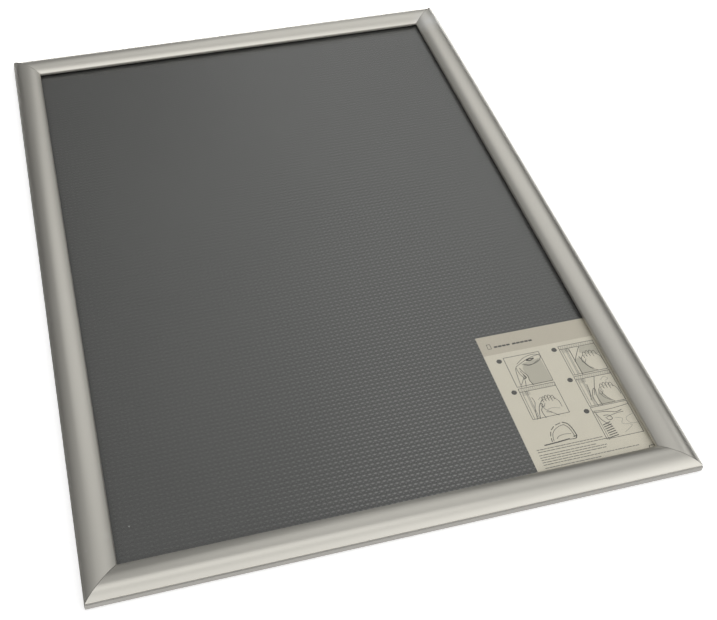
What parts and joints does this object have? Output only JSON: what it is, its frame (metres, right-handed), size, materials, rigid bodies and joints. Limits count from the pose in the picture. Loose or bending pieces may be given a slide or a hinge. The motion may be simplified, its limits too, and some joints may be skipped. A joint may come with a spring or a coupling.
{
  "type": "snap-open poster frame",
  "caption": "Flat rectangular poster frame with mitred rails that hinge open on bowed springs, over a back panel, a paper leaflet and a clear sheet.",
  "frame": {"origin": "centre of the outline on the plane of the back face", "axes": "+Z out of the front of the frame, +X across the short side, +Y along the long side"},
  "size_m": [0.45, 0.624, 0.012],
  "materials": {
    "base_aluminium": "satin anodised extrusion",
    "snap_aluminium": "satin anodised extrusion",
    "spring_steel": "tempered strip, dull",
    "key_steel": "zinc plated",
    "panel_plastic": "embossed dark grey sheet",
    "leaflet_paper": "uncoated",
    "clear_sheet": "clear flexible sheet"
  },
  "bodies": {
    "frame": {"base_rail_bottom": "base_aluminium", "base_rail_top": "base_aluminium", "base_rail_left": "base_aluminium", "base_rail_right": "base_aluminium", "corner_key_bl": "key_steel", "corner_key_br": "key_steel", "corner_key_tl": "key_steel", "corner_key_tr": "key_steel", "back_panel": "panel_plastic", "instruction_leaflet": "leaflet_paper", "cover_sheet": "clear_sheet"},
    "bottom_snap_rail": {"snap_rail_bottom": "snap_aluminium"},
    "bottom_springs": {"spring_bottom_1": "spring_steel", "spring_bottom_2": "spring_steel"},
    "top_snap_rail": {"snap_rail_top": "snap_aluminium"},
    "top_springs": {"spring_top_1": "spring_steel", "spring_top_2": "spring_steel"},
    "left_snap_rail": {"snap_rail_left": "snap_aluminium"},
    "left_springs": {"spring_left_1": "spring_steel", "spring_left_2": "spring_steel", "spring_left_3": "spring_steel"},
    "right_snap_rail": {"snap_rail_right": "snap_aluminium"},
    "right_springs": {"spring_right_1": "spring_steel", "spring_right_2": "spring_steel", "spring_right_3": "spring_steel"}
  },
  "joints": [
    {"name": "bottom_snap_hinge", "type": "hinge", "parent": "frame", "child": "bottom_snap_rail", "pos_m": [0, -0.311, 0.006], "axis": [1, 0, 0], "range_deg": [0, 95]},
    {"name": "bottom_spring_tilt", "type": "hinge", "parent": "frame", "child": "bottom_springs", "pos_m": [0, -0.3003, 0.0054], "axis": [1, 0, 0], "range_deg": [-17.9, 0]},
    {"name": "top_snap_hinge", "type": "hinge", "parent": "frame", "child": "top_snap_rail", "pos_m": [0, 0.311, 0.006], "axis": [-1, 0, 0], "range_deg": [0, 95]},
    {"name": "top_spring_tilt", "type": "hinge", "parent": "frame", "child": "top_springs", "pos_m": [0, 0.3003, 0.0054], "axis": [-1, 0, 0], "range_deg": [-17.9, 0]},
    {"name": "left_snap_hinge", "type": "hinge", "parent": "frame", "child": "left_snap_rail", "pos_m": [-0.224, 0, 0.006], "axis": [0, -1, 0], "range_deg": [0, 95]},
    {"name": "left_spring_tilt", "type": "hinge", "parent": "frame", "child": "left_springs", "pos_m": [-0.2133, 0, 0.0054], "axis": [0, -1, 0], "range_deg": [-17.9, 0]},
    {"name": "right_snap_hinge", "type": "hinge", "parent": "frame", "child": "right_snap_rail", "pos_m": [0.224, 0, 0.006], "axis": [0, 1, 0], "range_deg": [0, 95]},
    {"name": "right_spring_tilt", "type": "hinge", "parent": "frame", "child": "right_springs", "pos_m": [0.2133, 0, 0.0054], "axis": [0, 1, 0], "range_deg": [-17.9, 0]}
  ],
  "couplings": [
    {"joint": "bottom_spring_tilt", "follows": "bottom_snap_hinge", "ratio": -0.1884},
    {"joint": "top_spring_tilt", "follows": "top_snap_hinge", "ratio": -0.1884},
    {"joint": "left_spring_tilt", "follows": "left_snap_hinge", "ratio": -0.1884},
    {"joint": "right_spring_tilt", "follows": "right_snap_hinge", "ratio": -0.1884}
  ]
}
